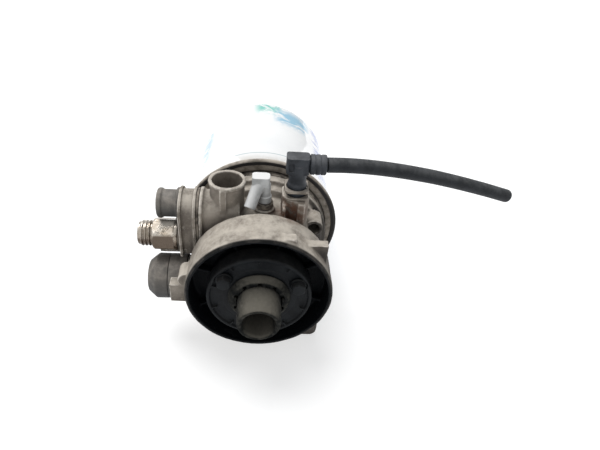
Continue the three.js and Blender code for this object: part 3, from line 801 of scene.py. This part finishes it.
def casting_cuts():
    front, bottom = PEDESTAL["front"], -AXIS_HEIGHT
    fitting_spot = (0, FITTING["y"], FITTING["z"])
    plug_spot = (0, PLUG["y"], PLUG["z"])
    governor_spot = (0, GOVERNOR["y"], GOVERNOR["z"])
    port_spot = (PORT["x"], PORT["y"], 0)
    elbow_spot = (ELBOW["x"], ELBOW["y"], 0)
    breather_spot = (BREATHER["x"], BREATHER["y"], 0)
    skirt_bore = SKIRT["radius"] - SKIRT["wall"]
    return [
        valve_plate(2.4, -75, VALVE["right"] + GAP),
        ring(PEDESTAL["radius"], skirt_bore, SKIRT["front"] - 1, SKIRT["floor"], 144, 0),
        drum(PEDESTAL["radius"] + 1, SKIRT["front"] - 1, front, 144),
        drum(CHAMBER["radius"], front - 1, CHAMBER["back"], 72),
        ring(24, 47, 12, SEAT["face"] + 1, 96, 0),
        drum(HUB["radius"] + GAP, HUB["front"] - GAP, SEAT["face"] + 1, 72),
        drum(4, CHAMBER["back"] - 1, HUB["front"] + 1),
        at(drum(PORT["bore"], PORT["top"] - PORT["depth"], PORT["top"] + 1, 96), port_spot, "z"),
        at(drum(5, 30, PORT["top"]), port_spot, "z"),
        at(drum(9.3, -55, -30), fitting_spot, "x"),
        at(drum(4.3, -55, -43.5), plug_spot, "x"),
        at(drum(7.8, GOVERNOR["joint"] - 1, -36), governor_spot, "x"),
        at(drum(5.2, 0, 36), (45, 0, 27)),
        at(drum(7.7, ELBOW["seat"] - 16, ELBOW["seat"]), elbow_spot, "z"),
        at(drum(4.8, BREATHER["seat"] - 9, BREATHER["seat"] + 1), breather_spot, "z"),
        *(at(drum(5.1, bottom - 1, bottom + 18), spot, "z") for spot in foot_holes()),
        *(at(drum(COVER_HOLE, front - 1, -34, 24), spot) for spot in cover_bolt_spots()),
        *(at(drum(SCREW_HOLE, -55, -43, 24), spot, "x") for spot in valve_screw_spots()),
    ]


def make_casting():
    body = joined([cast_shell(), *mounting_foot(), *top_bosses(), *side_pads()])
    body = joined([cut(body, casting_cuts()), *around(SKIRT_RIBS, skirt_rib, 18)])
    stand_for("base_casting", uneven(moulded(body, CAST_VOXEL, 4), 0.16, 7), crease=80)


# ---- end cover and exhaust ----
def cover_bolt_spots():
    spots = [on_circle(COVER_BOLT_CIRCLE, angle) for angle in COVER_BOLTS]
    return [(x, 0, z) for x, z in spots]


def end_cover():
    back, radius = COVER["back"], COVER["radius"]
    face = back - COVER["thickness"]
    inner = PEDESTAL["radius"] + GAP
    disc = turned(rounded([
        (17.7, back), (17.7, face), (29, face), (29.6, face + 0.5), (36.6, face + 0.5), (37.2, face),
        (38.5, face), (39.5, face - 2.2), (radius - 0.8, face - 2.2), (radius, face - 1), (radius, back + 8),
        (inner, back + 8), (inner, back), (17.7, back),
    ], 0.35), 144)
    teeth = around(COVER_TEETH, lambda: block((-0.7, 0.7), (face - 1.8, face + 1), (35, 39.2)))
    holes = [at(drum(COVER_HOLE, face - 1, back + 1, 24), spot) for spot in cover_bolt_spots()]
    seats = [at(drum(7.2, face - 4, face + 0.6, 40), spot) for spot in cover_bolt_spots()]
    return moulded(cut(joined([disc, *teeth]), holes + seats), MOULD_VOXEL, 2)


def cover_bolt():
    seat = COVER["back"] - COVER["thickness"] - GAP
    crown = rounded([(0, seat - 6.5), (4.7, seat - 6.5), (6.1, seat - 5.6), (6.1, seat), (0, seat)], 0.3)
    head = common(hexagon(10, seat - 6.5, seat - 1), turned(crown, 48))
    washer = rounded([(0, seat - 1.6), (5.9, seat - 1.6), (6.7, seat - 0.9), (6.7, seat), (0, seat)], 0.25)
    return joined([head, turned(washer, 48), drum(3, seat - 0.5, -36, 32)])


def exhaust_spigot():
    radius, bore, front, flange = (SPIGOT[k] for k in ("radius", "bore", "front", "flange"))
    near, back = PEDESTAL["front"] + GAP, PEDESTAL["front"] + 4
    body = turned(rounded([
        (bore, front + 1.5), (bore + 1.2, front), (radius - 1.2, front), (radius - 0.4, front + 2.5),
        (radius, front + 9), (radius, near), (flange, near), (flange, back), (bore, back),
        (bore, front + 1.5),
    ], 0.5), 96)
    return uneven(moulded(body, BLOCK_VOXEL, 2), 0.12, 4)


def lock_ring():
    back = COVER["back"] - COVER["thickness"] - GAP
    cone = turned(rounded([
        (17.7, back), (25, back), (25, back - 1.5), (21, back - 6), (17.7, back - 6), (17.7, back),
    ], 0.5), 96)
    notches = around(LOCK_NOTCHES, lambda: block((-1.6, 1.6), (back - 8, back - 2.5), (16, 20.4)))
    return uneven(moulded(cut(cone, notches), MOULD_VOXEL, 3), 0.12, 4)


def make_exhaust():
    stand_for("end_cover", end_cover(), crease=50)
    for i, spot in enumerate(cover_bolt_spots()):
        stand_for(f"cover_bolt_{i + 1}", at(cover_bolt(), spot))
    stand_for("exhaust_spigot", exhaust_spigot(), crease=60)
    stand_for("spigot_lock_ring", lock_ring(), crease=60)


# ---- valve block, outlet fitting and heater connector ----
def valve_screw_spots():
    reach = VALVE["half"] - SCREW_INSET
    front, back = VALVE["y"] - reach, VALVE["y"] + reach
    low = VALVE["bottom"] + SCREW_INSET
    return [(0, front, low), (0, back, low), (0, front, 38), (0, back, 31)]


def valve_block():
    left, right = VALVE["left"], VALVE["right"]
    seam, flange = right - GAP - 1.8, 2.5
    flanges = [valve_plate(2, seam - flange, seam), valve_plate(2, left, left + flange)]
    shell = cut(joined([valve_plate(0, left, seam), *flanges]), [
        at(drum(8.6, left - 1, right), (0, FITTING["y"], FITTING["z"]), "x"),
        at(drum(4.3, left - 1, right), (0, PLUG["y"], PLUG["z"]), "x"),
        *(at(drum(SCREW_HOLE, left - 1, right, 24), spot, "x") for spot in valve_screw_spots()),
        *(at(drum(3.7, left - 1, left + 5, 32), spot, "x") for spot in valve_screw_spots()),
    ])
    return uneven(moulded(shell, BLOCK_VOXEL, 3), 0.12, 6)


def valve_gasket():
    right = VALVE["right"]
    return cut(valve_plate(1, right - 1.8, right), [
        at(drum(8.6, right - 3, right + 1), (0, FITTING["y"], FITTING["z"]), "x"),
        at(drum(4.5, right - 3, right + 1), (0, PLUG["y"], PLUG["z"]), "x"),
        *(at(drum(2.4, right - 3, right + 1, 24), spot, "x") for spot in valve_screw_spots()),
    ])


def valve_screw():
    seat = VALVE["left"] + 5 - GAP
    head = turned(rounded([(0, seat - 4.4), (3.4, seat - 4.4), (3.4, seat), (0, seat)], 0.35), 40)
    return joined([cut(head, [hexagon(3, seat - 6, seat - 2)]), drum(2, seat - 0.5, -44, 24)])


def outlet_fitting():
    flats, thread, bore, end = (FITTING[k] for k in ("flats", "thread", "bore", "end"))
    front, back = end + 12, VALVE["left"] - 2.2
    envelope = turned(rounded([(0, front), (12.4, front), (14.2, front + 2), (14.2, back), (0, back)], 0.5))
    crests = []
    for along in (end + 3, end + 6, end + 9):
        crests += [(10, along - 0.7), (thread, along), (thread, along + 0.8), (10, along + 1.5)]
    stub = turned(rounded([(0, end), (9.6, end), *crests, (10, front + 1), (0, front + 1)], 0.35))
    collar = turned(rounded([(0, back - 3), (13.8, back - 3), (13.8, back), (0, back)], 0.4))
    nut = common(hexagon(flats, front, back - 1), envelope)
    body = joined([nut, collar, stub, drum(8.2, back - 2, -56.5)])
    mouth = turned([(0, end - 1), (bore + 2, end - 1), (bore, end + 1), (bore, -56), (0, -56)])
    return moulded(cut(body, [mouth]), MOULD_VOXEL, 2)


def heater_connector():
    radius, end = PLUG["radius"], PLUG["end"]
    root = VALVE["left"] - GAP
    inner = radius - 2.2
    shell = turned(rounded([
        (inner, end), (radius - 0.9, end), (radius, end + 1.2), (radius, end + 3.6),
        (radius - 1.1, end + 4.6),
        (radius - 1.1, root - 3), (radius + 0.8, root - 2.4), (radius + 0.8, root), (4.2, root),
        (4.2, root - 6), (inner, root - 6), (inner, end),
    ], 0.35))
    grooves = []
    for turn in (80, 200, 320):
        groove = block((-1.1, 1.1), (end, end + 13), (radius - 1.6, radius + 1))
        groove.data.transform(Matrix.Rotation(-0.35, 4, "Z"))
        grooves.append(spun(groove, turn))
    return moulded(cut(shell, grooves), MOULD_VOXEL, 2)


def make_valve_block():
    fitting_spot = (0, FITTING["y"], FITTING["z"])
    plug_spot = (0, PLUG["y"], PLUG["z"])
    left = VALVE["left"]
    stand_for("valve_block", valve_block(), crease=70)
    stand_for("valve_block_gasket", valve_gasket())
    for i, spot in enumerate(valve_screw_spots()):
        stand_for(f"valve_block_screw_{i + 1}", at(valve_screw(), spot, "x"))
    stand_for("outlet_fitting", at(outlet_fitting(), fitting_spot, "x"), crease=40)
    stand_for("outlet_fitting_seal", at(ring(8.7, 13.5, left - 1.9, left - GAP), fitting_spot, "x"))
    stand_for("heater_connector", at(heater_connector(), plug_spot, "x"), crease=50)
    tip, root = PLUG["end"] + 4, left - 6.6
    for i, aside in enumerate((-4, 4)):
        pin = turned(rounded([(0, tip), (1.2, tip), (1.2, root), (0, root)], 0.6), 24)
        stand_for(f"heater_pin_{i + 1}", at(pin, (0, PLUG["y"] + aside, PLUG["z"]), "x"))


# ---- governor ----
def governor_housing():
    radius, joint = GOVERNOR["radius"], GOVERNOR["joint"]
    return turned(rounded([
        (8, joint), (8, -70), (15.5, -70), (15.5, -78), (16.3, -78), (16.3, -76.5), (radius, -76.5),
        (radius, joint), (8, joint),
    ], 0.4))


def governor_cap():
    radius, end = GOVERNOR["radius"], GOVERNOR["end"]
    return turned(rounded([
        (0, end), (13.5, end), (radius, -87), (radius, -76.8), (16.7, -76.8), (16.7, -78.4), (14.8, -78.5),
        (14.8, -86.4), (12.5, end + 2), (0, end + 2),
    ], 0.8))


def make_governor():
    spot = (0, GOVERNOR["y"], GOVERNOR["z"])
    stand_for("governor_housing", at(governor_housing(), spot, "x"))
    stand_for("governor_cap", at(governor_cap(), spot, "x"))


# ---- breather elbow ----
def breather_elbow():
    seat = BREATHER["seat"]
    stem = turned([
        (0, seat - 8), (2.8, seat - 8), (2.8, seat + 5.3), (5.6, seat + 5.3), (5.6, seat + 11),
        (4.6, seat + 11), (4.6, 75), (0, 75),
    ], 48)
    head = prism(rounded_box(-10.5, 3.6, -5.5, 4.8, 2.5), 73.5, 82, "z")
    line = smooth_line([(-3.6, 0.6, 77.5), (-6.6, -4, 71.5), (-11.8, -12.4, 59)], 8)
    spout = swept(line, [(0, 4.8), (6, 5.0), (10, 4.8), (len(line) - 1, 4.7)])
    way = (line[-1] - line[-4]).normalized()
    bore = swept([line[-1] - way * 8, line[-1] + way * 2], [(0, 3.3), (1, 3.3)])
    body = joined([at(stem, (0, 0, 0), "z"), head, spout])
    return moulded(cut(body, [bore]), FINE_VOXEL, 5)


def make_breather():
    spot = (BREATHER["x"], BREATHER["y"], 0)
    seat = BREATHER["seat"]
    stand_for("breather_grommet", at(ring(3.2, 7.2, seat + GAP, seat + 5, 64, 1.2), spot, "z"))
    stand_for("breather_elbow", at(breather_elbow(), spot), crease=70)


# ---- hose elbow, its clip and the hose ----
def elbow_clip():
    seat = ELBOW["seat"]
    outline = rounded_box(-9.5, 9.5, -10, 9, 3)
    leaves = [prism(outline, z, z + 2, "z") for z in (seat - 3.6, seat + 2.6)]
    link = block((-9.5, -6.5), (2, 9), (seat - 3.4, seat + 4.5))
    opening = at(drum(8.2, seat - 5, seat + 8), (0, 0, 0), "z")
    return moulded(cut(joined([*leaves, link]), [opening]), FINE_VOXEL, 2)


def hose_elbow():
    seat, head = ELBOW["seat"], ELBOW["head"]
    neck = turned([
        (0, seat - 15), (7, seat - 15), (7, seat - 12.3), (5.3, seat - 12.3), (5.3, seat - 8.7),
        (7, seat - 8.7), (7, seat - 3.6), (7.8, seat - 3.6), (7.8, seat + 7), (7, seat + 9), (7, head),
        (0, head),
    ], 64)
    barb = turned([(0, 6), (5.4, 6), (5.4, 14), (3.4, 17), (3.4, 21.6), (0, 21.6)], 48)
    box = prism(rounded_box(-9.5, 8.5, -6, 7, 2.5), head - 7, head + 7, "z")
    body = joined([at(neck, (0, 0, 0), "z"), at(barb, (0, 0.6, head), "x"), box])
    notch = block((-7.6, -3.6), (-9, -4.2), (head - 4, head + 2.6))
    bore = at(drum(2.2, 2, 30, 32), (0, 0.6, head), "x")
    return moulded(cut(body, [notch, bore]), MOULD_VOXEL, 3)


def hose_ferrule():
    return turned(rounded([
        (6.4, 8.9), (7.6, 8.9), (8, 9.6), (8, 12.2), (7.6, 12.6), (7.6, 13.4), (8, 13.8), (8, 16.4),
        (7.6, 16.8), (7.6, 17.6), (8, 18), (8, 20.8), (7.6, 21.5), (6.4, 21.5), (6.4, 8.9),
    ], 0.25))


def make_hose():
    spot = (ELBOW["x"], ELBOW["y"], 0)
    ferrule_spot = (ELBOW["x"], ELBOW["y"] + 0.6, ELBOW["head"])
    stand_for("elbow_clip", at(elbow_clip(), spot), crease=60)
    stand_for("hose_elbow", at(hose_elbow(), spot), crease=60)
    stand_for("hose_ferrule", at(hose_ferrule(), ferrule_spot, "x"))
    line = smooth_line(HOSE_ROUTE, 8)
    last, radius, bore = len(line) - 1, HOSE["radius"], HOSE["bore"]
    outside = [(i, radius) for i in range(1, last - 1)]
    mouth = [(last - 1, radius - 0.15), (last, radius - 0.8), (last, bore + 0.5)]
    inside = [(i, bore) for i in range(last - 1, last - 16, -1)]
    hose = swept(line, [(0, radius - 0.6), *outside, *mouth, *inside], 40)
    stand_for("hose", hose)


# ---- spin-on cartridge ----
def dome(radius, along, steps=14):
    """The outline of a can's pressed end, from its wall to its centre, for a wall of that radius."""
    flat = 45
    bend = [on_circle(radius - flat, 80 * k / steps) for k in range(steps + 1)]
    shoulder = [(flat + u, CAN["shoulder"] + v) for u, v in bend]
    crown = [(r, along - 3.1 * (r / flat) ** 2.4) for r in range(44, 2, -6)]
    return [*shoulder, *crown, (0, along)]


def can_shell():
    radius, rim, front, wall, top = (CAN[k] for k in ("radius", "rim", "front", "wall", "top"))
    bead = [on_circle(2.5, -150 + 210 * k / 12) for k in range(13)]
    seam = [(rim - 2.5 + u, front + 3.1 + v) for u, v in bead]
    wall_line = [(radius + 0.9, front + 6.6), (radius, front + 8.4), (radius, 110)]
    outside = [(rim - 3.4, front + 0.6), *seam, *wall_line]
    inside = [*reversed(dome(radius - wall, top - wall)), (radius - wall, front + 0.6)]
    return turned([*outside, *dome(radius, top), *inside, outside[0]], 160)


def cartridge_plate():
    front, back = CAN["front"] + 1.5, CAN["front"] + 7.5
    bore, rim = HUB["radius"] + GAP, CAN["radius"] - CAN["wall"] - GAP
    disc = turned(rounded([
        (bore, front - 1), (30, front - 1), (34, front + 1.5), (46, front + 1.5), (52, front),
        (52, front + 2.5), (61.5, front + 2.5), (61.5, front), (rim, front), (rim, back), (30, back),
        (27, back + 3),
        (bore, back + 3), (bore, front - 1),
    ], 0.5), 120)
    return cut(disc, around(6, lambda: at(drum(4, front - 2, back + 2, 32), (40, 0, 0))))


def threaded_hub():
    bore, radius, front, back = (HUB[k] for k in ("bore", "radius", "front", "back"))
    root, pitch = radius - 0.8, 1.5
    outline = [(bore, front), (root, front)]
    along = front + 1
    while along < back - 2:
        outline += [(radius, along), (root, along + pitch / 2)]
        along += pitch
    return turned([*outline, (root, back), (bore, back), (bore, front)], 96)


def make_cartridge():
    gasket_back = CAN["front"] + 4 - GAP
    stand_for("cartridge_can", can_shell(), crease=50)
    stand_for("cartridge_plate", cartridge_plate())
    stand_for("cartridge_gasket", ring(52.5, 60.6, SEAT["face"] + GAP, gasket_back, 120, 1.5))
    stand_for("threaded_hub", threaded_hub(), crease=20)


# ---- stage ----
def make_camera():
    forward = Vector((0.0937, 0.7919, -0.6034)).normalized()
    up = Vector((-0.0358, 0.6084, 0.7929))
    up = (up - forward * up.dot(forward)).normalized()
    camera = bpy.data.objects.new("camera", bpy.data.cameras.new("camera"))
    bpy.context.scene.collection.objects.link(camera)
    turn = Matrix((forward.cross(up), up, -forward)).transposed().to_4x4()
    camera.matrix_world = Matrix.Translation((-0.0038, -0.3088, 0.3428)) @ turn
    camera.data.lens = 27.32
    camera.data.sensor_width = 36
    camera.data.clip_start = 0.01
    bpy.context.scene.camera = camera


def pale_floor(tree):
    """Nearly white, and lit a little from below so that the shadow stays faint."""
    pale = mixed(tree, between(tree, grain(tree, 3.0), 0.3, 0.7), (0.50, 0.50, 0.50), (0.51, 0.51, 0.51))
    return {"Base Color": pale, "Roughness": 0.9, "Emission Color": (1, 1, 1, 1), "Emission Strength": 0.6}


def make_floor():
    half = 8
    mesh = bpy.data.meshes.new("floor")
    corners = [(-half, -half, 0), (half, -half, 0), (half, half, 0), (-half, half, 0)]
    mesh.from_pydata(corners, [], [(0, 1, 2, 3)])
    floor = bpy.data.objects.new("floor", mesh)
    bpy.context.scene.collection.objects.link(floor)
    floor.location.z = -0.0005
    mesh.materials.append(surface("floor_white", pale_floor))


def make_light(name, way, strength, softness):
    """Sunlight softened as through a large diffuser, coming from the direction `way`."""
    light = bpy.data.lights.new(name, "SUN")
    light.energy = strength
    light.angle = math.radians(softness)
    lamp = bpy.data.objects.new(name, light)
    lamp.rotation_euler = Vector(way).to_track_quat("Z", "Y").to_euler()
    bpy.context.scene.collection.objects.link(lamp)


def make_world():
    world = bpy.data.worlds.new("studio")
    world.use_nodes = True
    background = world.node_tree.nodes["Background"]
    background.inputs["Color"].default_value = (0.96, 0.98, 1, 1)
    background.inputs["Strength"].default_value = 0.42
    bpy.context.scene.world = world
    bpy.context.scene.view_settings.view_transform = "Standard"


make_camera()
make_hose()
make_casting()
make_exhaust()
make_valve_block()
make_governor()
make_breather()
make_cartridge()
for name, cad_node in frame["nodes"].items():
    if not cad_node.hide_render:
        cad_node.data.materials.clear()
        cad_node.data.materials.append(look(name))
make_floor()
make_world()
make_light("key", (-0.3, 0.35, 1), 2.6, 40)
make_light("fill", (-0.6, -0.8, 0.5), 0.25, 80)
